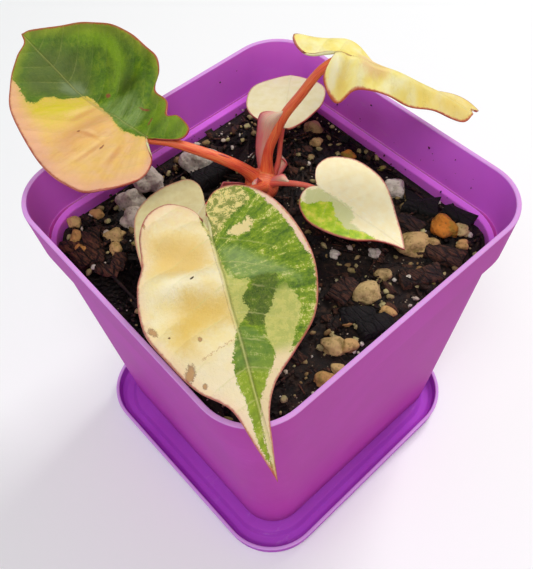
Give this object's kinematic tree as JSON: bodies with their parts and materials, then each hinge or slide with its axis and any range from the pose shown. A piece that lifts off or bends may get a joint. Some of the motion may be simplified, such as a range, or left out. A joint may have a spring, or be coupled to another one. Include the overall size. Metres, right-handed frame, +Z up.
{
  "type": "potted variegated philodendron",
  "caption": "Young variegated aroid house plant with heart-shaped, long-tipped leaves in a square tapered plastic pot of chunky mix, standing on a matching square saucer.",
  "frame": {"origin": "on the pot's axis, on the flat underside of the saucer", "axes": "+Z up; +X and +Y along the square pot's sides"},
  "size_m": [0.1375, 0.1055, 0.1366],
  "materials": {
    "saucer_plastic": "satin moulded plastic, violet",
    "pot_plastic": "satin moulded plastic, magenta violet",
    "potting_mix": "moist chunky mix of bark, charcoal, pumice and perlite",
    "stem": "smooth flesh, orange red",
    "leaf_green_cream": "waxy leaf, half cream and half marbled green",
    "leaf_green_peach": "waxy leaf, half green and half peach yellow",
    "leaf_yellow": "soft leaf, yellow cream with a red margin",
    "leaf_cream": "waxy leaf, pale cream",
    "leaf_cream_green": "waxy leaf, cream with a green lower lobe",
    "leaf_pale": "waxy leaf, pale cream"
  },
  "bodies": {
    "root": {"saucer": "saucer_plastic", "pot": "pot_plastic", "potting_mix": "potting_mix", "stem": "stem", "leaf_front": "leaf_green_cream", "leaf_left": "leaf_green_peach", "leaf_yellow": "leaf_yellow", "leaf_back": "leaf_cream", "leaf_heart": "leaf_cream_green", "leaf_low": "leaf_pale"}
  },
  "joints": []
}
